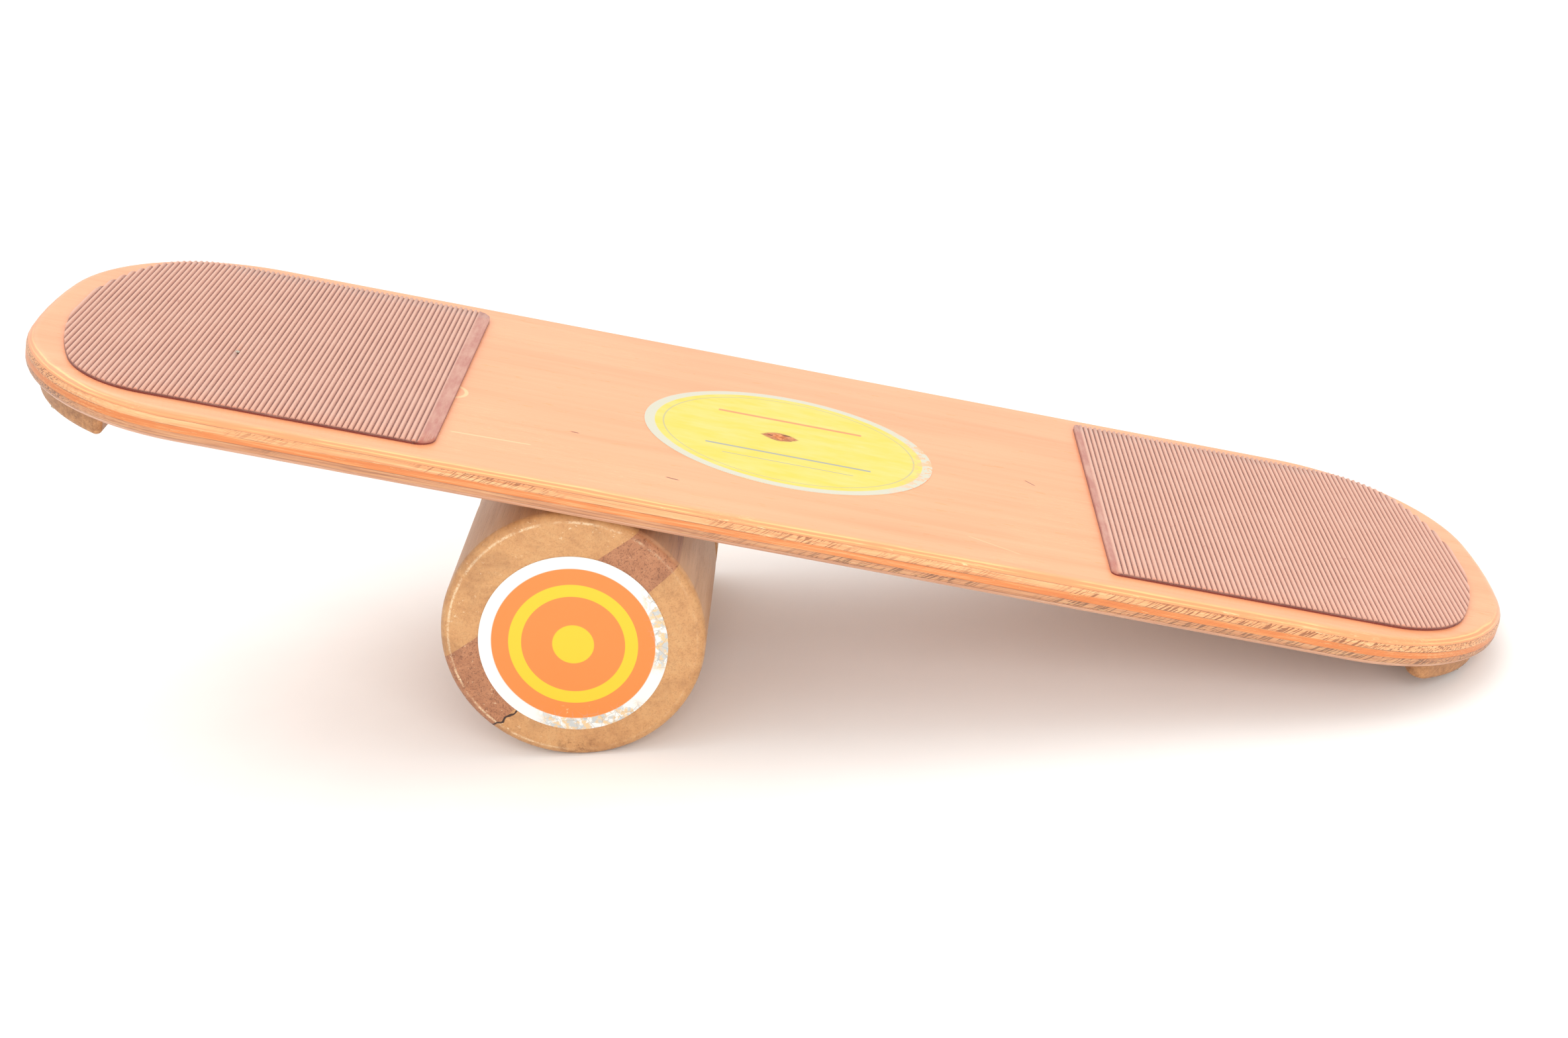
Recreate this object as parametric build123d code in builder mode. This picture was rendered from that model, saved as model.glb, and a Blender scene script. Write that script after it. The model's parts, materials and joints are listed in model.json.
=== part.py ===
import os
from math import acos, cos, degrees, radians, sin

from build123d import *

# A roller balance board: a plywood deck lies across a loose wooden roller.
# A rail under the deck runs in the roller's groove, and a stop under each end keeps the roller in.
# X runs along the board, Y across it and Z up. The board leans on its right end, on the floor at Z = 0.

# Deck
deck_length = 762.0
deck_width = 241.0
deck_corner_radius = 95.0
deck_nose_radius = 350.0
deck_edge_radius = 5.5
deck_tilt = 15.0
plies = [
    ("deck_bottom_veneer", 3.0),
    ("deck_lower_crossband", 3.2),
    ("deck_core", 3.5),
    ("deck_upper_crossband", 3.2),
    ("deck_top_veneer", 3.0),
]
deck_thickness = sum(thickness for _, thickness in plies)

# Rubber pads, and the printed oval between them
pad_inner_x = 166.0
pad_margin = 16.0
pad_width = 207.0
pad_corner_radius = 47.0
pad_nose_radius = 186.0
pad_left_corner = 10.0
pad_right_corner = 3.5
pad_thickness = 2.8
decal_length = 152.0
decal_width = 132.0
decal_thickness = 0.3
decal_center = (5.0, -4.0)

# One round-headed brad, sunk into the left pad
brad_position = (-277.0, -30.5)
brad_radius = 0.7
brad_head_radius = 1.3
brad_head_height = 0.9
brad_sink = 0.2
brad_length = 8.0

# Roller, turned from three planks glued together on planes that are not quite parallel
roller_diameter = 130.0
roller_length = 225.0
roller_edge_radius = 5.0
groove_width = 18.0
groove_depth = 13.0
groove_edge_radius = 1.5
upper_glue_angle = 30.6
upper_glue_offset = 26.6
lower_glue_angle = 39.0
lower_glue_offset = -8.0
label_diameter = 93.0
label_thickness = 0.4
front_label_drop = 3.2

# Rail and stops under the deck
rail_width = 14.0
rail_height = 9.5
rail_chamfer = 1.5
rail_end_gap = 2.0
stop_inner_x = 323.0
stop_setback = 7.7
stop_height = 10.5
stop_edge_radius = 2.5
stop_left_corner = 3.0
stop_right_corner = 6.5

# Slotted wood screws, driven up from below
screw_radius = 1.9
screw_tip_radius = 0.2
screw_tip_length = 4.0
screw_head_radius = 3.9
screw_head_height = 2.4
slot_width = 1.0
slot_depth = 1.1
hole_clearance = 0.05
brad_hole_radius = brad_radius + hole_clearance
rail_screw_length = 20.0
rail_screw_spacing = 150.0
rail_screw_count = 5
stop_screw_length = 22.0
stop_screw_spacing = 75.0
stop_screw_count = 3
stop_screw_x = 351.0

# The deck rests on the roller with this much air between them
running_gap = 0.3

# Where the deck lies: it touches the roller, and its right stop touches the floor
tilt = radians(deck_tilt)
roller_radius = roller_diameter / 2
underside_radius = roller_radius + running_gap
stop_tip_x = deck_length / 2 - stop_setback
foot_x = stop_tip_x - stop_edge_radius
foot_drop = underside_radius - stop_height + stop_edge_radius
foot_fall = roller_radius - stop_edge_radius + cos(tilt) * foot_drop
contact_to_center = foot_fall / sin(tilt) - foot_x
deck_x = -sin(tilt) * deck_thickness / 2
deck_z = roller_radius + cos(tilt) * underside_radius - sin(tilt) * contact_to_center
roller_x = deck_x - cos(tilt) * contact_to_center - sin(tilt) * underside_radius

deck_plane = Plane((deck_x, 0, deck_z), x_dir=(cos(tilt), 0, -sin(tilt)), z_dir=(sin(tilt), 0, cos(tilt)))
deck_top = deck_plane.offset(deck_thickness)
brad_top = deck_top.offset(pad_thickness - brad_sink)
rail_face = deck_plane.offset(-rail_height)
stop_face = deck_plane.offset(-stop_height)
roller_plane = Plane((roller_x, 0, roller_radius), x_dir=(1, 0, 0), z_dir=(0, -1, 0))

deck_up = Axis(deck_plane.origin, deck_plane.z_dir)

upright = (Align.CENTER, Align.CENTER, Align.MIN)
downward = (Align.CENTER, Align.CENTER, Align.MAX)
os.makedirs("parts", exist_ok=True)


def save(part, name):
    """Label a finished piece and write it."""
    part.label = name
    export_step(part, f"parts/{name}.step")


def rounded_end(inner_x, tip_x, half_width, corner_radius, nose_radius):
    """The outline of a shape whose straight sides close in tangent arcs at the tip."""
    corner_turn = acos((half_width - corner_radius) / (nose_radius - corner_radius))
    side_end = tip_x - corner_radius * sin(corner_turn) - nose_radius * (1 - sin(corner_turn))
    with BuildLine() as outline:
        side = Line((inner_x, half_width), (side_end, half_width))
        corner = JernArc(side @ 1, side % 1, corner_radius, -degrees(corner_turn))
        JernArc(corner @ 1, corner % 1, nose_radius, degrees(corner_turn) - 90)
        mirror(about=Plane.XZ)
        Line((inner_x, half_width), (inner_x, -half_width))
    return outline.edges()


def screw_shape(length, clearance=0.0, mode=Mode.ADD):
    """A countersunk screw from its head's face upwards, or the hole for it."""
    radius = screw_radius + clearance
    straight = length - screw_tip_length
    Cylinder(radius, straight, align=upright, mode=mode)
    Cone(screw_head_radius + clearance, radius, screw_head_height, align=upright, mode=mode)
    with Locations((0, 0, straight)):
        Cone(radius, screw_tip_radius + clearance, screw_tip_length + clearance, align=upright, mode=mode)


def rail_screw_places():
    """The rail's screws lie in a row along the middle of the deck."""
    return GridLocations(rail_screw_spacing, 0, rail_screw_count, 1)


def stop_screw_places(side):
    """A stop's screws lie in a row across the deck."""
    spread = stop_screw_spacing * (stop_screw_count - 1) / 2
    return Locations(*[(side * stop_screw_x, y) for y in (-spread, 0, spread)])


def cut_holes():
    """The holes for the brad and all the screws, cut out of the piece being made."""
    with Locations(brad_top):
        with Locations(brad_position):
            Cylinder(brad_hole_radius, brad_length + hole_clearance, align=downward, mode=Mode.SUBTRACT)
            Cylinder(brad_head_radius + hole_clearance, 2 * brad_head_height, mode=Mode.SUBTRACT)
    with Locations(rail_face):
        with rail_screw_places():
            screw_shape(rail_screw_length, hole_clearance, Mode.SUBTRACT)
    with Locations(stop_face):
        for side in (-1, 1):
            with stop_screw_places(side):
                screw_shape(stop_screw_length, hole_clearance, Mode.SUBTRACT)


# Deck: each ply is a slice of the same rounded board
ply_bottom = 0.0
for name, thickness in plies:
    with BuildPart() as ply:
        with BuildSketch(deck_plane):
            make_face(rounded_end(0, deck_length / 2, deck_width / 2, deck_corner_radius, deck_nose_radius))
            mirror(about=Plane.YZ)
        extrude(amount=deck_thickness)
        fillet(faces().filter_by(deck_plane).edges(), radius=deck_edge_radius)
        split(bisect_by=deck_plane.offset(ply_bottom), keep=Keep.TOP)
        split(bisect_by=deck_plane.offset(ply_bottom + thickness), keep=Keep.BOTTOM)
        cut_holes()
    save(ply.part, name)
    ply_bottom += thickness

# Decal and pads on top of the deck
with BuildPart() as decal:
    with BuildSketch(deck_top):
        with Locations(decal_center):
            Ellipse(decal_length / 2, decal_width / 2)
    extrude(amount=decal_thickness)
save(decal.part, "deck_decal")

for side, name, inner_corner in ((-1, "pad_left", pad_left_corner), (1, "pad_right", pad_right_corner)):
    with BuildPart() as pad:
        with BuildSketch(Plane(deck_top.origin, x_dir=side * deck_top.x_dir, z_dir=deck_top.z_dir)):
            pad_tip_x = deck_length / 2 - pad_margin
            make_face(rounded_end(pad_inner_x, pad_tip_x, pad_width / 2, pad_corner_radius, pad_nose_radius))
            fillet(vertices().group_by(Axis.X)[0], radius=inner_corner)
        extrude(amount=pad_thickness)
        cut_holes()
    save(pad.part, name)

with BuildPart(brad_top) as brad:
    with Locations(brad_position):
        Cylinder(brad_radius, brad_length, align=downward)
        Cylinder(brad_head_radius, brad_head_height, align=downward)
    fillet(faces().sort_by(deck_up)[-1].edges(), radius=brad_head_height / 2)
save(brad.part, "pad_brad")

# Rail and stops under the deck
with BuildPart() as rail:
    with BuildSketch(rail_face):
        Rectangle(2 * (stop_inner_x - rail_end_gap), rail_width)
    extrude(amount=rail_height)
    chamfer(faces().sort_by(deck_up)[0].edges(), length=rail_chamfer)
    cut_holes()
save(rail.part, "guide_rail")

for side, name, inner_corner in ((-1, "stop_left", stop_left_corner), (1, "stop_right", stop_right_corner)):
    with BuildPart() as stop:
        with BuildSketch(Plane(stop_face.origin, x_dir=side * stop_face.x_dir, z_dir=stop_face.z_dir)):
            half_width = deck_width / 2 - stop_setback
            corner_radius = deck_corner_radius - stop_setback
            nose_radius = deck_nose_radius - stop_setback
            make_face(rounded_end(0, stop_tip_x, half_width, corner_radius, nose_radius))
            split(bisect_by=Plane((stop_inner_x, 0, 0), z_dir=(1, 0, 0)), keep=Keep.TOP)
            fillet(vertices().group_by(Axis.X)[0], radius=inner_corner)
        extrude(amount=stop_height)
        fillet(faces().sort_by(deck_up)[0].edges(), radius=stop_edge_radius)
        cut_holes()
    save(stop.part, name)


def slotted_screw(length):
    """A wood screw with a slot across its head."""
    screw_shape(length)
    Box(3 * screw_head_radius, slot_width, slot_depth, align=upright, mode=Mode.SUBTRACT)


with BuildPart(rail_face) as rail_screws:
    with rail_screw_places():
        slotted_screw(rail_screw_length)
save(rail_screws.part, "rail_screws")

for side, name in ((-1, "stop_left_screws"), (1, "stop_right_screws")):
    with BuildPart(stop_face) as stop_screws:
        with stop_screw_places(side):
            slotted_screw(stop_screw_length)
    save(stop_screws.part, name)


def glue_plane(angle, offset):
    """A lengthwise plane through the roller, at an angle to the floor and off its axis."""
    normal = (-sin(radians(angle)), 0, cos(radians(angle)))
    return Plane(roller_plane.origin, x_dir=(0, 1, 0), z_dir=normal).offset(offset)


def on_groove_rim(edge):
    """True for the two round edges where the groove is cut into the roller."""
    return edge.geom_type == GeomType.CIRCLE and abs(edge.arc_center.Y) < groove_width


# Roller: three planks of one grooved cylinder, with a round label on each end
upper_glue = glue_plane(upper_glue_angle, upper_glue_offset)
lower_glue = glue_plane(lower_glue_angle, lower_glue_offset)
planks = [
    ("roller_upper_plank", [(upper_glue, Keep.TOP)]),
    ("roller_middle_plank", [(upper_glue, Keep.BOTTOM), (lower_glue, Keep.TOP)]),
    ("roller_lower_plank", [(lower_glue, Keep.BOTTOM)]),
]
for name, cuts in planks:
    with BuildPart(roller_plane) as plank:
        Cylinder(roller_radius, roller_length)
        fillet(edges().filter_by(GeomType.CIRCLE), radius=roller_edge_radius)
        Cylinder(roller_diameter, groove_width, mode=Mode.SUBTRACT)
        fillet(edges().filter_by(on_groove_rim), radius=groove_edge_radius)
        Cylinder(roller_radius - groove_depth, 2 * groove_width)
        for glue, kept in cuts:
            split(bisect_by=glue, keep=kept)
    save(plank.part, name)

labels = (("roller_front_label", 1, front_label_drop), ("roller_back_label", -1, 0))
for name, side, drop in labels:
    with BuildPart() as label:
        label_center = (roller_x, -side * roller_length / 2, roller_radius - drop)
        with BuildSketch(Plane(label_center, z_dir=(0, -side, 0))):
            Circle(label_diameter / 2)
        extrude(amount=label_thickness)
    save(label.part, name)
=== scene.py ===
import json
import math

import bmesh
import bpy
from mathutils import Matrix, Vector, noise


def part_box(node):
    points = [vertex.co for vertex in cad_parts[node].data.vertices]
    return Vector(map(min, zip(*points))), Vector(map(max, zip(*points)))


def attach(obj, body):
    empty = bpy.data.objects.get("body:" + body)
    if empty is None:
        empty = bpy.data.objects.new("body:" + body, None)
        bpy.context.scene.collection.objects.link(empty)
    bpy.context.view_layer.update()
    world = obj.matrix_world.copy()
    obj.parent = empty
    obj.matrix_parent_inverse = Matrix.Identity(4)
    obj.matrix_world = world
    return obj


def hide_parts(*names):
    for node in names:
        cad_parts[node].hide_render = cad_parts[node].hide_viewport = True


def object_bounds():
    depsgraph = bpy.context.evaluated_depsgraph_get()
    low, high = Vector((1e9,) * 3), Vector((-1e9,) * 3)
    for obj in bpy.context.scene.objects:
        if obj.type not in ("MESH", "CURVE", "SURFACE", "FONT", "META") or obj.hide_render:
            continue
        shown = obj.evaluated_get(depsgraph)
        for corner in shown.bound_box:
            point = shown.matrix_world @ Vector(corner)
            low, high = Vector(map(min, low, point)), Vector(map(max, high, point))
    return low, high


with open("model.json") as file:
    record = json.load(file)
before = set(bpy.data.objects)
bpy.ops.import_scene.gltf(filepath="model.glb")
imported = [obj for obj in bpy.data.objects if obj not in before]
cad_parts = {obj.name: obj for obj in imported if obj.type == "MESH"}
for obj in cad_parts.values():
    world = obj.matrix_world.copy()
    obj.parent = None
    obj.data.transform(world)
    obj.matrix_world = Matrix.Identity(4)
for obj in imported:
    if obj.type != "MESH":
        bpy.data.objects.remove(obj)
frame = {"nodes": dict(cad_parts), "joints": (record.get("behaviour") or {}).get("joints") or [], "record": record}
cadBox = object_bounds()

mm = 0.001
record = frame["record"]
mounts = {m["name"]: m for m in record["mounts"]}
print("frame loaded:", len(frame["nodes"]), "parts")

# where the leaning board and the roller are
leftFoot = Vector(mounts["left_foot_pad"]["pos_m"])
rightFoot = Vector(mounts["right_foot_pad"]["pos_m"])
deckUp = Vector(mounts["left_foot_pad"]["axis"])
deckTilt = math.atan2(deckUp.x, deckUp.z)
untilt = Matrix.Rotation(-deckTilt, 4, "Y")
rollerAxis = Vector(frame["joints"][0]["pos_m"])
rollerRadius = (rollerAxis.z - cadBox[0].z) / mm  # the roller stands on the floor


def turnedBox(node):  # a part's lowest and highest corner, with the tilt taken out
    spots = [untilt @ v.co for v in frame["nodes"][node].data.vertices]
    low = Vector(min(s[i] for s in spots) for i in range(3))
    high = Vector(max(s[i] for s in spots) for i in range(3))
    return low, high


underside = turnedBox("deck_bottom_veneer")[0].z
topside = turnedBox("deck_top_veneer")[1].z
middle = untilt @ ((leftFoot + rightFoot) / 2)
deckToWorld = untilt.inverted() @ Matrix.Translation((middle.x, 0, underside))
deckThickness = (topside - underside) / mm


def deckBox(node):  # the same box, measured from the middle of the board's underside
    low, high = turnedBox(node)
    shift = Vector((middle.x, 0, underside))
    return low - shift, high - shift


def tone(red, green, blue):  # screen colour to the linear values that sockets take
    def linear(c):
        c = c / 255
        return c / 12.92 if c <= 0.04045 else ((c + 0.055) / 1.055) ** 2.4
    return (linear(red), linear(green), linear(blue), 1.0)


def add(t, kind, inputs=None, **props):  # a shader node, fed by links or by fixed values
    n = t.nodes.new("ShaderNode" + kind)
    for key, value in props.items():
        setattr(n, key, value)
    for key, value in (inputs or {}).items():
        if isinstance(value, bpy.types.NodeSocket):
            t.links.new(value, n.inputs[key])
        else:
            n.inputs[key].default_value = value
    return n


def calc(t, operation, a, b=0.0, clamp=False):
    n = add(t, "Math", {0: a, 1: b}, operation=operation, use_clamp=clamp)
    return n.outputs[0]


def reach(t, value, start, end, low=0.0, high=1.0):  # soft step between two values
    n = add(t, "MapRange", {0: value, 1: start, 2: end, 3: low, 4: high},
            interpolation_type="SMOOTHSTEP")
    return n.outputs[0]


def band(t, value, centre, halfWidth, soft):  # 1 inside a band, 0 outside
    off = calc(t, "ABSOLUTE", calc(t, "SUBTRACT", value, centre))
    return reach(t, off, halfWidth + soft, halfWidth)


def grain(t, place, stretch, detail=3.0, rough=0.55, warp=0.0, shift=(0, 0, 0)):
    # noise, finer along an axis where stretch is larger
    moved = add(t, "VectorMath", {0: place, 1: stretch, 2: shift}, operation="MULTIPLY_ADD")
    n = add(t, "TexNoise", {"Vector": moved.outputs[0], "Scale": 1.0, "Detail": detail,
                            "Roughness": rough, "Distortion": warp})
    return n.outputs[0]


def ramp(t, value, *stops):  # a value turned into colours
    n = add(t, "ValToRGB", {0: value})
    bar = n.color_ramp
    while len(bar.elements) < len(stops):
        bar.elements.new(0.5)
    for element, (spot, colour) in zip(bar.elements, stops):
        element.position = spot
        element.color = colour
    return n.outputs[0]


def blendIn(t, amount, under, over, way="MIX"):
    n = add(t, "Mix", {0: amount, 6: under, 7: over}, data_type="RGBA", blend_type=way)
    return n.outputs[2]


def both(t, a, b):  # where two patterns meet
    return calc(t, "MULTIPLY", a, b)


def either(t, *values):  # where any of the patterns shows
    out = values[0]
    for v in values[1:]:
        out = calc(t, "MAXIMUM", out, v)
    return out


def distance2d(t, a, b):
    return calc(t, "SQRT", calc(t, "ADD", both(t, a, a), both(t, b, b)))


def startFinish(name, origin, turn):  # a material whose pattern is laid out in millimetres
    mat = bpy.data.materials.new(name)
    mat.use_nodes = True
    t = mat.node_tree
    spots = t.nodes.new("ShaderNodeTexCoord").outputs["Object"]
    place = add(t, "Mapping", {"Vector": spots, "Location": origin, "Rotation": turn,
                               "Scale": (mm, mm, mm)}, vector_type="TEXTURE").outputs[0]
    axes = add(t, "SeparateXYZ", {0: place}).outputs
    return mat, t, t.nodes["Principled BSDF"], place, axes


def finishOff(t, shader, colour, roughness, height, bump, **fixed):
    # bump is its strength and its depth in millimetres; fixed values go on the shader's own sockets
    t.links.new(colour, shader.inputs["Base Color"])
    if isinstance(roughness, bpy.types.NodeSocket):
        t.links.new(roughness, shader.inputs["Roughness"])
    else:
        shader.inputs["Roughness"].default_value = roughness
    if height is not None:
        n = add(t, "Bump", {"Height": height, "Strength": bump[0], "Distance": bump[1] * mm})
        t.links.new(n.outputs[0], shader.inputs["Normal"])
    for key, value in fixed.items():
        shader.inputs[key.replace("_", " ")].default_value = value


deckPlace = (deckToWorld.to_translation()[:], (0, deckTilt, 0))
rollerPlace = (rollerAxis[:], (0, 0, 0))


faceLook = {
    "light": tone(238, 167, 121), "plain": tone(236, 158, 111), "deep": tone(230, 145, 97),
    "worn": tone(230, 190, 124), "rim": tone(214, 136, 86), "bare": tone(236, 202, 152),
    "mark": tone(104, 54, 32), "roughness": 0.38,
    "paleScratches": (((-161, -78), (-122, -76), 0.7, 1.0), ((96, -88), (121, -99), 0.5, 0.7)),
    "paleArc": {"centre": (-171, -23), "radius": 9.5, "spread": 8, "width": 1.3},
    "darkNicks": (((-54, -85), (-48, -86), 0.8), ((-105, -48), (-101, -48.5), 0.8),
                  ((131, 4), (136, -1), 0.6)),
}


def scratch(t, axes, start, end, width):  # a straight scratch between two points on the board
    sx, sy = start
    run = math.hypot(end[0] - sx, end[1] - sy)
    ux, uy = (end[0] - sx) / run, (end[1] - sy) / run
    dx = calc(t, "SUBTRACT", axes[0], sx)
    dy = calc(t, "SUBTRACT", axes[1], sy)
    along = calc(t, "ADD", both(t, dx, ux), both(t, dy, uy))
    aside = calc(t, "SUBTRACT", both(t, dx, -uy), both(t, dy, -ux))
    return both(t, band(t, along, run / 2, run / 2 - 1, 2), band(t, aside, 0, width / 2, width / 2))


def arcScratch(t, axes, centre, radius, spread, width):  # the right half of a small ring
    dx = calc(t, "SUBTRACT", axes[0], centre[0])
    dy = calc(t, "SUBTRACT", axes[1], centre[1])
    ring = band(t, distance2d(t, dx, dy), radius, width / 2, width / 2)
    side = both(t, reach(t, dx, 0.0, 1.0), band(t, dy, 0, spread, 2))
    return both(t, ring, side)


def varnishedFace():
    look = faceLook
    mat, t, shader, place, axes = startFinish("varnishedFace", *deckPlace)
    z = axes[2]
    streak = grain(t, place, (0.004, 0.11, 0.11), 4, 0.6, 0.4)
    fine = grain(t, place, (0.02, 1.3, 1.3), 4, 0.6)
    blotch = grain(t, place, (0.009, 0.022, 0.022), 2, 0.5, shift=(3, 1, 0))
    mixed = calc(t, "ADD", both(t, streak, 0.5), both(t, fine, 0.2))
    mixed = calc(t, "ADD", mixed, both(t, blotch, 0.3))
    colour = ramp(t, mixed, (0.32, look["deep"]), (0.5, look["plain"]), (0.7, look["light"]))
    pores = reach(t, grain(t, place, (0.12, 2.6, 2.6), 2, 0.5), 0.66, 0.74)
    colour = blendIn(t, both(t, pores, 0.25), colour, look["deep"])
    # the rounded rim: deeper varnish, rubbed lines along it, small bare chips
    rim = reach(t, z, deckThickness - 0.12, deckThickness - 0.9)
    wobble = grain(t, place, (0.012, 0.03, 0.2), 3, 0.6, shift=(0, 7, 0))
    level = calc(t, "ADD", z, both(t, calc(t, "SUBTRACT", wobble, 0.5), 1.6))
    colour = blendIn(t, both(t, rim, 0.75), colour, look["rim"])
    rubbed = either(t, band(t, level, deckThickness - 0.7, 0.05, 0.25),
                    both(t, band(t, level, deckThickness - 1.9, 0.08, 0.3), 0.8))
    patchy = reach(t, grain(t, place, (0.016, 0.016, 0.05), 3, 0.6, shift=(6, 6, 1)), 0.38, 0.6)
    colour = blendIn(t, both(t, both(t, rubbed, patchy), 0.8), colour, look["worn"])
    chip = reach(t, grain(t, place, (0.09, 0.35, 0.9), 4, 0.65, shift=(5, 5, 5)), 0.63, 0.67)
    lowRim = reach(t, z, deckThickness - 1.3, deckThickness - 2.4)
    colour = blendIn(t, both(t, both(t, chip, lowRim), 0.85), colour, look["bare"])
    # light rubs and scratches on the flat
    hair = grain(t, place, (0.045, 0.9, 0.9), 2, 0.4, 1.2, shift=(9, 2, 0))
    worn = reach(t, grain(t, place, (0.012, 0.02, 0.02), 2, 0.5, shift=(1, 8, 0)), 0.52, 0.62)
    rubs = both(t, both(t, band(t, hair, 0.5, 0.006, 0.012), worn), 0.5)
    pale = either(t, rubs, arcScratch(t, axes, **look["paleArc"]),
                  *(both(t, scratch(t, axes, start, end, width), strength)
                    for start, end, width, strength in look["paleScratches"]))
    colour = blendIn(t, both(t, pale, 0.7), colour, look["bare"])
    dark = either(t, *(scratch(t, axes, *nick) for nick in look["darkNicks"]))
    colour = blendIn(t, both(t, dark, 0.8), colour, look["mark"])
    seam = reach(t, z, deckThickness - 2.75, deckThickness - 3.0)
    colour = blendIn(t, both(t, seam, 0.55), colour, look["mark"])
    height = calc(t, "SUBTRACT", both(t, fine, 0.35), either(t, both(t, chip, lowRim), pale, dark))
    gloss = calc(t, "ADD", look["roughness"], both(t, either(t, chip, pale), 0.2))
    finishOff(t, shader, colour, gloss, height, (0.25, 0.25), Coat_Weight=0.25, Coat_Roughness=0.3)
    return mat


plyLooks = {
    "deck_upper_crossband": {"plain": tone(212, 152, 104), "dark": tone(184, 114, 70),
                             "pale": tone(226, 192, 142), "tick": tone(120, 66, 38), "ticks": 1.0},
    "deck_core": {"plain": tone(198, 118, 62), "dark": tone(188, 104, 54),
                  "pale": tone(222, 178, 124), "tick": tone(164, 90, 48), "ticks": 0.2},
    "deck_lower_crossband": {"plain": tone(182, 126, 88), "dark": tone(118, 78, 58),
                             "pale": tone(206, 168, 124), "tick": tone(92, 62, 48), "ticks": 0.9},
    "deck_bottom_veneer": {"plain": tone(196, 146, 116), "dark": tone(162, 108, 80),
                           "pale": tone(214, 178, 150), "tick": tone(136, 94, 72), "ticks": 0.1,
                           "stretch": (0.005, 0.13, 0.9)},
}
plySeam = tone(104, 74, 62)


def plyFinish(node):
    look = plyLooks[node]
    low, high = deckBox(node)
    low, high = low.z / mm, high.z / mm
    mat, t, shader, place, axes = startFinish("wood_" + node, *deckPlace)
    z = axes[2]
    stretch = look.get("stretch", (0.014, 0.03, 0.9))
    streak = grain(t, place, stretch, 4, 0.6, 0.3, shift=(low, 0, 0))
    fine = grain(t, place, (0.05, 1.1, 1.6), 3, 0.6)
    mixed = calc(t, "ADD", both(t, streak, 0.6), both(t, fine, 0.4))
    colour = ramp(t, mixed, (0.28, look["dark"]), (0.5, look["plain"]), (0.82, look["pale"]))
    # cut pores lean over along the edge of a crossband
    lean = add(t, "CombineXYZ", {0: calc(t, "SUBTRACT", axes[0], both(t, z, 1.3)), 1: axes[1], 2: z})
    tick = reach(t, grain(t, lean.outputs[0], (1.1, 1.1, 0.1), 2, 0.5), 0.51, 0.58)
    toRight = reach(t, axes[0], -60, 300)
    where = grain(t, place, (0.012, 0.012, 0.05), 2, 0.5, shift=(0, 0, 3))
    where = reach(t, calc(t, "ADD", where, both(t, toRight, 0.2)), 0.46, 0.66)
    tick = both(t, both(t, tick, where), look["ticks"])
    colour = blendIn(t, both(t, tick, 0.8), colour, look["tick"])
    chip = reach(t, grain(t, place, (0.07, 0.3, 0.9), 5, 0.7, 0.5, shift=(low, 4, 2)), 0.6, 0.64)
    chip = both(t, chip, calc(t, "ADD", both(t, toRight, 0.5), 0.5))
    colour = blendIn(t, both(t, chip, 0.8), colour, look["pale"])
    seam = reach(t, z, high - 0.3, high - 0.05)
    if low > 1:  # the bottom ply has no glue line under it
        seam = either(t, seam, reach(t, z, low + 0.25, low + 0.02))
    wobble = grain(t, place, (0.03, 0.03, 0.3), 3, 0.6, shift=(2, 2, 2))
    seam = both(t, seam, reach(t, wobble, 0.35, 0.6))
    colour = blendIn(t, both(t, seam, 0.5), colour, plySeam)
    height = calc(t, "SUBTRACT", both(t, mixed, 0.6), either(t, chip, both(t, tick, 0.7), seam))
    finishOff(t, shader, colour, 0.45, height, (0.5, 0.4), Coat_Weight=0.15, Coat_Roughness=0.35)
    return mat


decalLook = {
    "yellow": tone(219, 196, 66), "sun": tone(218, 201, 108), "border": tone(200, 196, 176),
    "line": tone(140, 148, 150), "wood": tone(236, 176, 136), "red": tone(222, 120, 86),
    "borderShare": 0.93, "lineShare": 0.87,
    # in the tear, the darker brown ring tone is a painted shadow around its rim
    "tear": {"long": 19.0, "wide": 10.5, "y": -1.0, "tearPaintedShadow": tone(150, 96, 56), "slit": tone(86, 40, 22),
             "raw": tone(190, 112, 66), "fibre": tone(226, 160, 108)},
}


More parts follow.
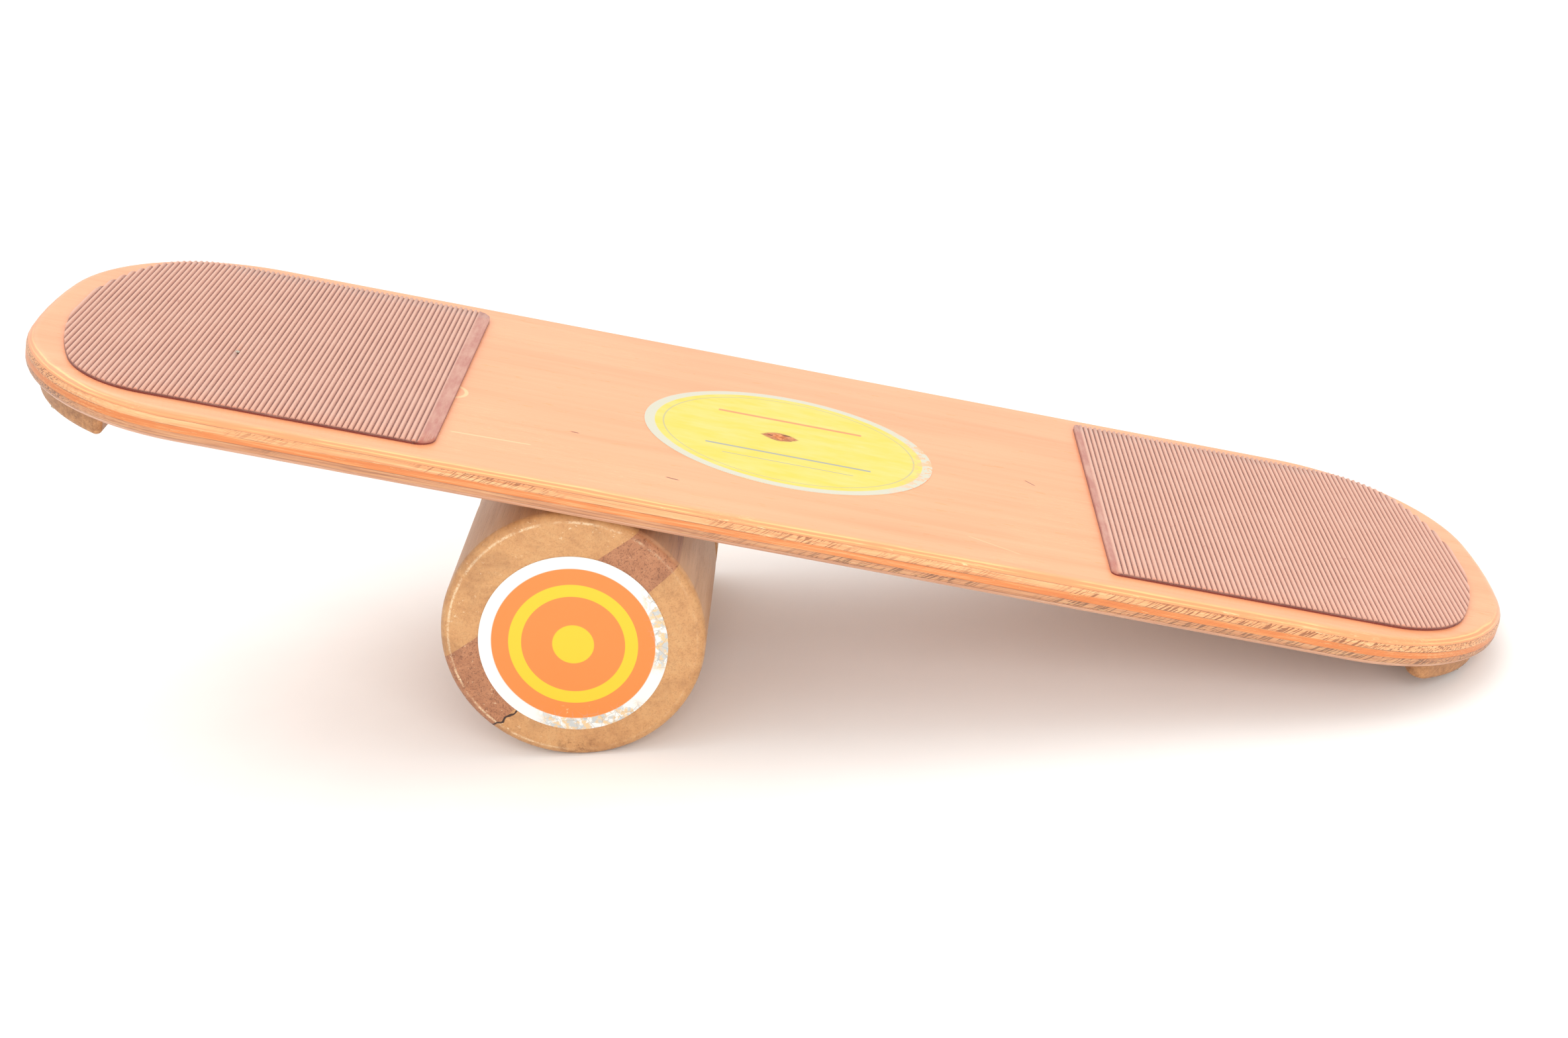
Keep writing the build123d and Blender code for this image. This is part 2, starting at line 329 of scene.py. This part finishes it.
def decalFinish():
    look = decalLook
    low, high = deckBox("deck_decal")
    halfLong, halfWide = (high.x - low.x) / 2 / mm, (high.y - low.y) / 2 / mm
    centre = (low + high) / 2 / mm
    mat, t, shader, place, axes = startFinish("ovalDecal", *deckPlace)
    u = calc(t, "DIVIDE", calc(t, "SUBTRACT", axes[0], centre.x), halfLong)
    v = calc(t, "DIVIDE", calc(t, "SUBTRACT", axes[1], centre.y), halfWide)
    r = distance2d(t, u, v)
    wear = grain(t, place, (0.05, 0.16, 0.16), 4, 0.6)
    fine = grain(t, place, (0.25, 0.9, 0.9), 3, 0.6)
    colour = ramp(t, wear, (0.35, look["yellow"]), (0.7, look["sun"]))
    # plain printed rules in place of the wording
    ellipseLine = band(t, r, look["lineShare"], 0.004, 0.004)
    ruleRed = both(t, band(t, v, 0.42, 0.016, 0.006), band(t, u, 0, 0.5, 0.01))
    ruleGrey = both(t, band(t, v, -0.34, 0.012, 0.006), band(t, u, 0, 0.56, 0.01))
    ruleThin = both(t, band(t, v, -0.5, 0.005, 0.005), band(t, u, 0, 0.44, 0.01))
    rules = either(t, both(t, ellipseLine, 0.45), both(t, ruleGrey, 0.85), both(t, ruleThin, 0.6))
    colour = blendIn(t, rules, colour, look["line"])
    colour = blendIn(t, both(t, ruleRed, 0.8), colour, look["red"])
    border = reach(t, r, look["borderShare"] - 0.004, look["borderShare"] + 0.004)
    colour = blendIn(t, border, colour, look["border"])
    # flakes lost at the right end, pale rubbed streaks along the grain
    rightEnd = reach(t, u, 0.62, 0.95)
    nearRim = reach(t, r, 0.8, 1.0)
    flake = reach(t, grain(t, place, (0.16, 0.2, 0.2), 4, 0.7, 0.6, shift=(4, 0, 0)), 0.53, 0.545)
    lost = both(t, both(t, flake, rightEnd), nearRim)
    streak = reach(t, grain(t, place, (0.03, 0.5, 0.5), 3, 0.6, shift=(0, 3, 0)), 0.6, 0.72)
    colour = blendIn(t, both(t, streak, 0.35), colour, look["sun"])
    colour = blendIn(t, lost, colour, look["wood"])
    # the torn spot in the middle, pointed at both ends, ringed by a painted shadow
    tear = look["tear"]
    ex = calc(t, "DIVIDE", axes[0], tear["long"] / 2)
    ey = calc(t, "DIVIDE", calc(t, "SUBTRACT", axes[1], tear["y"]), tear["wide"] / 2)
    lens = calc(t, "ADD", calc(t, "ABSOLUTE", ey), both(t, ex, ex))
    ragged = calc(t, "ADD", lens, both(t, fine, 0.5))
    inTear = reach(t, ragged, 1.3, 1.2)
    tearPaintedShadow = both(t, reach(t, ragged, 1.55, 1.3), 0.5)
    fibre = grain(t, place, (0.12, 1.6, 1.6), 3, 0.6)
    torn = ramp(t, fibre, (0.38, tear["slit"]), (0.5, tear["raw"]), (0.68, tear["fibre"]))
    colour = blendIn(t, tearPaintedShadow, colour, tear["tearPaintedShadow"])
    colour = blendIn(t, inTear, colour, torn)
    height = calc(t, "SUBTRACT", both(t, fine, 0.25), either(t, lost, inTear))
    gloss = calc(t, "ADD", 0.42, both(t, either(t, inTear, lost), 0.25))
    finishOff(t, shader, colour, gloss, height, (0.4, 0.3))
    return mat


# the crest tone is a painted highlight on the rib tops, the valley tone painted shade in the rib hollows, and the
# edge tone painted shade on the mat's side
rubberLook = {"crestPaintedHighlight": tone(208, 160, 139), "slope": tone(184, 131, 113), "valleyPaintedShade": tone(104, 60, 52),
              "smooth": tone(162, 88, 76), "chalk": tone(214, 178, 160), "edge": tone(114, 46, 36)}
ribs = {"pitch": 2.77 * mm, "height": 1.75 * mm, "stepsEach": 8, "acrossSteps": 14, "fade": 1.5 * mm,
        "roundness": 0.75, "sharpAngle": 38, "flatLeft": 6.0 * mm, "flatRight": 2.6 * mm}


def rubberFinish(name, node, flat):
    look = rubberLook
    low, high = deckBox(node)
    mat, t, shader, place, axes = startFinish(name, *deckPlace)
    top = high.z / mm
    depth = ribs["height"] / mm
    dust = grain(t, place, (0.05, 0.05, 0.05), 4, 0.6, shift=(0, 0, 6))
    speck = grain(t, place, (1.4, 0.5, 1.4), 3, 0.65)
    # painted shade and highlight: the colour follows rib height, dark in the valleys and light on the crests
    rise = reach(t, axes[2], top - depth, top - 0.1)
    mixed = calc(t, "ADD", rise, both(t, calc(t, "SUBTRACT", speck, 0.5), 0.5), clamp=True)
    colour = ramp(t, mixed, (0.0, look["valleyPaintedShade"]), (0.4, look["slope"]), (0.9, look["crestPaintedHighlight"]))
    colour = blendIn(t, both(t, reach(t, dust, 0.4, 0.8), 0.2), colour, look["chalk"])
    # scuffed smooth strip at the straight inner edge
    edge, outward = (high.x, -1) if high.x < 0 else (low.x, 1)
    strip = (edge + outward * flat) / mm
    inner = reach(t, axes[0], strip + outward * ribs["fade"] / mm, strip)
    scuff = grain(t, place, (0.25, 0.06, 0.3), 4, 0.6, shift=(2, 0, 0))
    scuffed = ramp(t, scuff, (0.38, look["smooth"]), (0.64, look["slope"]))
    colour = blendIn(t, both(t, inner, 0.75), colour, scuffed)
    chafed = reach(t, grain(t, place, (0.06, 0.09, 0.1), 3, 0.6, shift=(7, 1, 0)), 0.7, 0.74)
    colour = blendIn(t, both(t, chafed, 0.35), colour, look["smooth"])
    # painted shade: the mat's side below the ribs is coloured dark brown
    side = reach(t, axes[2], top - depth - 0.05, top - depth - 0.5)
    colour = blendIn(t, side, colour, look["edge"])
    height = calc(t, "ADD", both(t, speck, 0.6), both(t, scuff, 0.3))
    finishOff(t, shader, colour, 0.72, height, (0.35, 0.2), Sheen_Weight=0.15, Sheen_Roughness=0.5)
    return mat


def mergedCopy(node, name):  # a closed copy of a part, for cutting with
    bm = bmesh.new()
    bm.from_mesh(frame["nodes"][node].data)
    bmesh.ops.remove_doubles(bm, verts=bm.verts, dist=0.002 * mm)
    mesh = bpy.data.meshes.new(name)
    bm.to_mesh(mesh)
    bm.free()
    obj = bpy.data.objects.new(name, mesh)
    bpy.context.scene.collection.objects.link(obj)
    return obj


def ribbedPad(name, node, flat):
    low, high = deckBox(node)
    count = math.ceil((high.x - low.x) / ribs["pitch"]) + 1
    long, wide = count * ribs["pitch"], high.y - low.y + 2 * mm
    bm = bmesh.new()
    steps = count * ribs["stepsEach"]
    bmesh.ops.create_grid(bm, x_segments=steps, y_segments=ribs["acrossSteps"], size=0.5)
    bmesh.ops.scale(bm, vec=(long, wide, 1), verts=bm.verts)
    middleTop = ((low.x + high.x) / 2, (low.y + high.y) / 2, high.z - 0.02 * mm)
    bmesh.ops.translate(bm, vec=middleTop, verts=bm.verts)
    innerEdge = high.x if high.x < 0 else low.x
    for v in bm.verts:
        phase = (v.co.x - low.x) / ribs["pitch"]
        rise = abs(math.sin(math.pi * phase)) ** ribs["roundness"]
        keep = (abs(v.co.x - innerEdge) - flat) / ribs["fade"]
        keep = min(1.0, max(0.0, keep))  # 0 on the smooth strip, 1 where the ribs are full
        uneven = 0.08 * mm * (1 + noise.noise(v.co * 40))
        drop = ribs["height"] * (1 - rise) * (0.12 + 0.88 * keep)
        v.co.z -= drop + uneven * keep + 0.35 * mm * (1 - keep)
    skirt = bmesh.ops.extrude_face_region(bm, geom=bm.faces)["geom"]
    for v in (g for g in skirt if isinstance(g, bmesh.types.BMVert)):
        v.co.z = low.z - 1 * mm
    bmesh.ops.recalc_face_normals(bm, faces=bm.faces)
    bmesh.ops.transform(bm, matrix=deckToWorld, verts=bm.verts)
    mesh = bpy.data.meshes.new(name)
    bm.to_mesh(mesh)
    bm.free()
    pad = bpy.data.objects.new(name, mesh)
    bpy.context.scene.collection.objects.link(pad)
    # trimmed to the outline of the mat
    outline = mergedCopy(node, name + "Outline")
    cut = pad.modifiers.new("trim", "BOOLEAN")
    cut.operation = "INTERSECT"
    cut.solver = "EXACT"
    cut.object = outline
    seen = pad.evaluated_get(bpy.context.evaluated_depsgraph_get())
    trimmed = bpy.data.meshes.new_from_object(seen)
    pad.modifiers.clear()
    pad.data = trimmed
    bpy.data.objects.remove(outline)
    for face in trimmed.polygons:
        face.use_smooth = True
    trimmed.set_sharp_from_angle(angle=math.radians(ribs["sharpAngle"]))
    trimmed.materials.clear()
    trimmed.materials.append(rubberFinish(name + "Rubber", node, flat))
    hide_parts(node)
    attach(pad, "deck")
    print(name, len(trimmed.polygons), "faces")


rollerLook = {
    "light": {"pale": tone(195, 152, 103), "plain": tone(186, 137, 88), "dark": tone(164, 114, 70),
              "pore": tone(128, 84, 50), "rings": (-70, -55)},
    "dark": {"pale": tone(180, 129, 93), "plain": tone(164, 110, 76), "dark": tone(140, 88, 58),
             "pore": tone(94, 52, 34), "rings": (60, 90)},
    # the scuff tone is pale rubbed wear, also used for the painted highlight along the roller's end arris
    "scuff": tone(222, 196, 160), "grey": tone(216, 178, 142), "crack": tone(52, 28, 18),
    "edgeRadius": 5.0,
}
crack = {"start": (-45.5, -46.0), "end": (-30.5, -38.0), "width": 0.8}


def rollerFinish(name, kind, porous, cracked=False):
    look = rollerLook[kind]
    low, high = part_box("roller_middle_plank")
    half = (high.y - low.y) / 2 / mm
    mat, t, shader, place, axes = startFinish(name, *rollerPlace)
    x, y, z = axes[0], axes[1], axes[2]
    r = distance2d(t, x, z)
    streak = grain(t, place, (0.13, 0.008, 0.13), 4, 0.6, 0.5)
    fine = grain(t, place, (1.1, 0.03, 1.1), 3, 0.65)
    blotch = grain(t, place, (0.035, 0.02, 0.035), 3, 0.55, shift=(4, 4, 4))
    pithX, pithZ = look["rings"]
    fromPith = distance2d(t, calc(t, "SUBTRACT", x, pithX), calc(t, "SUBTRACT", z, pithZ))
    ringWave = calc(t, "SINE", calc(t, "ADD", both(t, fromPith, 1.5), both(t, streak, 9.0)))
    mixed = calc(t, "ADD", both(t, streak, 0.4), both(t, fine, 0.2))
    mixed = calc(t, "ADD", mixed, both(t, blotch, 0.4))
    mixed = calc(t, "ADD", mixed, both(t, ringWave, 0.02))
    colour = ramp(t, mixed, (0.3, look["dark"]), (0.5, look["plain"]), (0.74, look["pale"]))
    pores = reach(t, grain(t, place, (1.3, 0.05, 1.3), 3, 0.7), 0.53, 0.62)
    colour = blendIn(t, both(t, pores, 0.2 + 0.4 * porous), colour, look["pore"])
    # the ends are rubbed pale where the face turns into the side, with a painted highlight laid along that line
    turn = rollerRadius - rollerLook["edgeRadius"]
    nearEnd = reach(t, calc(t, "ABSOLUTE", y), half - 7, half - 0.2)
    rubNoise = grain(t, place, (0.1, 0.1, 0.1), 3, 0.6, 0.4, shift=(1, 0, 2))
    dashes = grain(t, place, (0.9, 0.9, 0.9), 4, 0.75, shift=(0, 4, 2))
    arrisWearAndHighlight = both(t, band(t, r, turn + 0.9, 0.15, 0.8), reach(t, rubNoise, 0.36, 0.56))
    arrisWearAndHighlight = both(t, both(t, arrisWearAndHighlight, nearEnd), reach(t, dashes, 0.36, 0.56))
    # painted highlight on real wear: the pale line and pale specks are made strongest on the upper left, where the
    # light falls
    litUpperLeft = reach(t, calc(t, "SUBTRACT", both(t, z, 0.5), x), -45, 20, 0.15, 1.0)
    colour = blendIn(t, both(t, both(t, arrisWearAndHighlight, litUpperLeft), 0.75), colour, rollerLook["scuff"])
    speck = reach(t, grain(t, place, (0.5, 0.5, 0.5), 3, 0.7, shift=(8, 0, 0)), 0.64, 0.7)
    speck = both(t, both(t, speck, nearEnd), both(t, litUpperLeft, reach(t, r, 40, 60)))
    colour = blendIn(t, both(t, speck, 0.7), colour, rollerLook["scuff"])
    smudge = reach(t, grain(t, place, (0.06, 0.06, 0.06), 4, 0.65, 0.5, shift=(0, 7, 7)), 0.5, 0.7)
    colour = blendIn(t, both(t, both(t, smudge, nearEnd), 0.3), colour, look["pore"])
    lowSpot = both(t, band(t, x, -4, 3, 12), band(t, z, -60, 3, 5))
    grime = reach(t, grain(t, place, (0.3, 0.3, 0.3), 4, 0.7, shift=(0, 0, 5)), 0.47, 0.6)
    grime = both(t, grime, lowSpot)
    colour = blendIn(t, both(t, both(t, grime, nearEnd), 0.65), colour, look["pore"])
    # the side is greyed by handling, in streaks along the grain
    side = reach(t, r, turn + 3.5, turn + 4.9)
    greyed = reach(t, grain(t, place, (0.05, 0.006, 0.05), 3, 0.6, shift=(0, 9, 0)), 0.4, 0.7)
    colour = blendIn(t, both(t, both(t, side, greyed), 0.5), colour, rollerLook["grey"])
    height = calc(t, "SUBTRACT", both(t, mixed, 0.5), both(t, pores, 0.5))
    if cracked:
        wander = both(t, calc(t, "SUBTRACT", grain(t, place, (0.2, 0.02, 0.2), 1, 0.5), 0.5), 4.0)
        shifted = (calc(t, "ADD", x, wander), calc(t, "ADD", z, both(t, wander, -1.0)))
        split = scratch(t, shifted, crack["start"], crack["end"], crack["width"])
        split = both(t, split, reach(t, y, -half + 14, -half + 9))
        colour = blendIn(t, split, colour, rollerLook["crack"])
        height = calc(t, "SUBTRACT", height, both(t, split, 3.0))
    finishOff(t, shader, colour, 0.5, height, (0.4, 0.4), Coat_Weight=0.12, Coat_Roughness=0.4)
    return mat


labelLook = {
    "white": tone(214, 213, 209), "crazing": tone(150, 140, 130), "yellow": tone(206, 178, 22),
    "orange": tone(212, 120, 48), "deepOrange": tone(210, 110, 42),
    "stain": tone(166, 170, 170), "glue": tone(206, 170, 116),
    "fieldShare": 0.865, "ring": (0.55, 0.68), "spot": 0.22,
}


def labelFinish(name, node):
    look = labelLook
    low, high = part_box(node)
    radius = (high.x - low.x) / 2 / mm
    mat, t, shader, place, axes = startFinish(name, ((low + high) / 2)[:], (0, 0, 0))
    x, z = axes[0], axes[2]
    r = calc(t, "DIVIDE", distance2d(t, x, z), radius)
    soft = 0.006
    field = reach(t, r, look["fieldShare"] + soft, look["fieldShare"] - soft)
    ringLow, ringHigh = look["ring"]
    ring = band(t, r, (ringLow + ringHigh) / 2, (ringHigh - ringLow) / 2, soft)
    spot = reach(t, r, look["spot"] + soft, look["spot"] - soft)
    tint = grain(t, place, (0.04, 0.04, 0.04), 3, 0.5)
    inks = blendIn(t, both(t, tint, 0.25), look["orange"], look["deepOrange"])
    inks = blendIn(t, either(t, ring, spot), inks, look["yellow"])
    # the border is stained and rubbed low down and on the right
    lowSide = both(t, reach(t, z, -30, -38), band(t, x, 6, 20, 10))
    side = either(t, lowSide, both(t, reach(t, x, 34, 41), band(t, z, 6, 18, 8)))
    patch = grain(t, place, (0.17, 0.17, 0.17), 5, 0.7, 0.6, shift=(2, 5, 1))
    rubbed = both(t, reach(t, patch, 0.44, 0.52), side)
    dirt = ramp(t, grain(t, place, (0.3, 0.3, 0.3), 3, 0.6), (0.45, look["stain"]), (0.55, look["glue"]))
    border = blendIn(t, both(t, rubbed, 0.85), look["white"], dirt)
    colour = blendIn(t, field, border, inks)
    nick = both(t, reach(t, patch, 0.64, 0.66), side)
    colour = blendIn(t, both(t, nick, 0.8), colour, look["glue"])
    crazed = add(t, "TexVoronoi", {"Vector": place, "Scale": 0.16}, feature="DISTANCE_TO_EDGE")
    line = both(t, reach(t, crazed.outputs[0], 0.035, 0.01), both(t, side, reach(t, r, 0.75, 0.9)))
    colour = blendIn(t, both(t, line, 0.5), colour, look["crazing"])
    height = calc(t, "SUBTRACT", both(t, patch, 0.3), either(t, rubbed, line))
    finishOff(t, shader, colour, 0.4, height, (0.2, 0.2), Coat_Weight=0.3, Coat_Roughness=0.3)
    return mat


plainLooks = {
    "nick": tone(120, 78, 50),
    "railWood": {"pale": tone(226, 180, 128), "dark": tone(176, 122, 78), "along": "x"},
    "stopWood": {"pale": tone(184, 132, 84), "dark": tone(132, 86, 50), "along": "y"},
}


def plainWood(name):
    look = plainLooks[name]
    mat, t, shader, place, axes = startFinish(name, *deckPlace)
    slow, fast = 0.012, 0.35
    stretch = (slow, fast, fast) if look["along"] == "x" else (fast, slow, fast)
    streak = grain(t, place, stretch, 4, 0.6, 0.6)
    fine = grain(t, place, tuple(s * 5 for s in stretch), 3, 0.6)
    mixed = calc(t, "ADD", both(t, streak, 0.65), both(t, fine, 0.35))
    colour = ramp(t, mixed, (0.34, look["dark"]), (0.66, look["pale"]))
    nick = reach(t, grain(t, place, (0.22, 0.22, 0.22), 4, 0.7, shift=(3, 0, 0)), 0.66, 0.7)
    colour = blendIn(t, both(t, nick, 0.5), colour, plainLooks["nick"])
    height = calc(t, "SUBTRACT", mixed, nick)
    finishOff(t, shader, colour, 0.5, height, (0.4, 0.3), Coat_Weight=0.15, Coat_Roughness=0.35)
    return mat


steelLook = {"dull": tone(150, 138, 120), "bright": tone(206, 198, 184)}


def steel():
    mat, t, shader, place, axes = startFinish("screwSteel", *deckPlace)
    brushed = grain(t, place, (2.0, 0.6, 2.0), 3, 0.6)
    colour = ramp(t, brushed, (0.35, steelLook["dull"]), (0.65, steelLook["bright"]))
    gloss = reach(t, brushed, 0.3, 0.7, 0.24, 0.42)
    finishOff(t, shader, colour, gloss, brushed, (0.15, 0.1), Metallic=1.0)
    return mat


splinters = {
    "count": 13, "long": 13 * mm, "wide": 0.9 * mm, "thick": 0.5 * mm,
    "spot": (0.0, -1.0 * mm), "halfRow": 3.2 * mm, "scatter": 1.6 * mm, "lift": (4, 6), "yaw": 9,
    "shade": tone(150, 78, 40), "raw": tone(222, 138, 82), "fibre": tone(250, 196, 138),
}


def splinterFinish():
    mat, t, shader, place, axes = startFinish("rawSplinter", *deckPlace)
    fibre = grain(t, place, (0.1, 2.0, 2.0), 3, 0.6)
    s = splinters
    colour = ramp(t, fibre, (0.35, s["shade"]), (0.5, s["raw"]), (0.68, s["fibre"]))
    finishOff(t, shader, colour, 0.7, fibre, (0.5, 0.2))
    return mat


def makeSplinters():
    s = splinters
    floorZ = deckBox("deck_decal")[1].z
    bm = bmesh.new()
    for i in range(s["count"]):
        across = (i / (s["count"] - 1) - 0.5) * 2
        share = math.sqrt(max(0.1, 1 - across * across))  # the outer splinters are shorter
        long = s["long"] * share * (0.55 + 0.3 * noise.noise(Vector((i * 3.7, 0.5, 0))))
        made = bmesh.ops.create_cone(bm, cap_ends=True, segments=5, radius1=0.5, radius2=0.06, depth=1)
        lift = s["lift"][0] + s["lift"][1] * abs(noise.noise(Vector((i * 1.9, 2.5, 0))))
        yaw = s["yaw"] * noise.noise(Vector((i * 2.3, 4.5, 1)))
        flip = 0 if i % 2 else 180
        shift = s["scatter"] * noise.noise(Vector((i * 5.1, 1, 7)))
        spot = (s["spot"][0] + shift, s["spot"][1] + across * s["halfRow"], floorZ + 0.1 * mm)
        shape = (
            Matrix.Translation(spot)
            @ Matrix.Rotation(math.radians(flip + yaw), 4, "Z")
            @ Matrix.Rotation(math.radians(90 - lift), 4, "Y")
            @ Matrix.Diagonal((s["thick"], s["wide"], long, 1))
        )
        bmesh.ops.transform(bm, matrix=shape, verts=made["verts"])
    bmesh.ops.recalc_face_normals(bm, faces=bm.faces)
    bmesh.ops.transform(bm, matrix=deckToWorld, verts=bm.verts)
    mesh = bpy.data.meshes.new("torn_splinters")
    bm.to_mesh(mesh)
    bm.free()
    mesh.materials.append(splinterFinish())
    obj = bpy.data.objects.new("torn_splinters", mesh)
    bpy.context.scene.collection.objects.link(obj)
    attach(obj, "deck")
    print("torn_splinters", len(mesh.polygons), "faces")


def dress(node, mat):
    slots = frame["nodes"][node].material_slots
    if slots:
        for s in slots:
            s.material = mat
    else:
        frame["nodes"][node].data.materials.append(mat)


dress("deck_top_veneer", varnishedFace())
for ply in plyLooks:
    dress(ply, plyFinish(ply))
dress("deck_decal", decalFinish())
dress("roller_upper_plank", rollerFinish("upperPlankWood", "light", 0.0))
dress("roller_middle_plank", rollerFinish("middlePlankWood", "dark", 1.0, cracked=True))
dress("roller_lower_plank", rollerFinish("lowerPlankWood", "light", 0.15, cracked=True))
dress("roller_front_label", labelFinish("frontLabel", "roller_front_label"))
dress("roller_back_label", labelFinish("backLabel", "roller_back_label"))
dress("guide_rail", plainWood("railWood"))
stopWood = plainWood("stopWood")
dress("stop_left", stopWood)
dress("stop_right", stopWood)
screwSteel = steel()
for hardware in ("pad_brad", "rail_screws", "stop_left_screws", "stop_right_screws"):
    dress(hardware, screwSteel)
print("finishes on")

ribbedPad("ribbed_mat_left", "pad_left", ribs["flatLeft"])
ribbedPad("ribbed_mat_right", "pad_right", ribs["flatRight"])
makeSplinters()


studio = {
    "floorSize": 16.0, "floorTone": tone(247, 245, 242), "floorShade": tone(243, 240, 237),
    "sky": 1.03, "skyTone": (1.0, 0.995, 0.985, 1),
    "sun": 1.05, "sunPlace": (-0.8, 0.9, 2.5), "sunAim": (0, 0, 0), "sunAngle": 65,
    "fill": 24.0, "fillPlace": (0.45, -1.85, 0.85), "fillAim": (0.05, 0, 0.02), "fillSize": 1.4,
}


def makeFloor():
    bm = bmesh.new()
    bmesh.ops.create_grid(bm, x_segments=1, y_segments=1, size=studio["floorSize"] / 2)
    bmesh.ops.translate(bm, vec=(0, 0, cadBox[0].z), verts=bm.verts)
    mesh = bpy.data.meshes.new("floor")
    bm.to_mesh(mesh)
    bm.free()
    mat, t, shader, place, axes = startFinish("paleFloor", (0, 0, 0), (0, 0, 0))
    mottled = grain(t, place, (0.02, 0.02, 0.02), 3, 0.5)
    colour = blendIn(t, mottled, studio["floorTone"], studio["floorShade"])
    finishOff(t, shader, colour, 0.9, None, None, Specular_IOR_Level=0.1)
    mesh.materials.append(mat)
    floor = bpy.data.objects.new("floor", mesh)
    bpy.context.scene.collection.objects.link(floor)


def makeLight(kind, name, energy, place, aim, size):
    data = bpy.data.lights.new(name, kind)
    data.energy = energy
    if kind == "SUN":
        data.angle = size
    else:
        data.shape = "DISK"
        data.size = size
    obj = bpy.data.objects.new(name, data)
    obj.location = place
    obj.rotation_euler = (Vector(aim) - Vector(place)).to_track_quat("-Z", "Y").to_euler()
    obj.visible_glossy = kind == "SUN"  # the fill leaves no glare on the varnish
    bpy.context.scene.collection.objects.link(obj)


def makeStudio():
    world = bpy.data.worlds.new("whiteRoom")
    world.use_nodes = True
    back = world.node_tree.nodes["Background"]
    back.inputs["Color"].default_value = studio["skyTone"]
    back.inputs["Strength"].default_value = studio["sky"]
    bpy.context.scene.world = world
    makeFloor()
    s = studio
    makeLight("SUN", "wideKey", s["sun"], s["sunPlace"], s["sunAim"], math.radians(s["sunAngle"]))
    makeLight("AREA", "frontFill", s["fill"], s["fillPlace"], s["fillAim"], s["fillSize"])


view = {"lens": 54.05, "sensor": 36, "place": (0.0597, -1.1498, 0.5438),
        "yaw": 2.92, "pitch": 22.14, "roll": -4.40}


def makeCamera():
    data = bpy.data.cameras.new("camera")
    data.lens = view["lens"]
    data.sensor_width = view["sensor"]
    cam = bpy.data.objects.new("camera", data)
    cam.location = view["place"]
    turn = (Matrix.Rotation(math.radians(view["yaw"]), 4, "Z")
            @ Matrix.Rotation(math.radians(90 - view["pitch"]), 4, "X")
            @ Matrix.Rotation(math.radians(view["roll"]), 4, "Z"))
    cam.rotation_euler = turn.to_euler()
    bpy.context.scene.collection.objects.link(cam)
    bpy.context.scene.camera = cam


makeStudio()
makeCamera()
bpy.context.scene.view_settings.view_transform = "Standard"
print("studio ready")
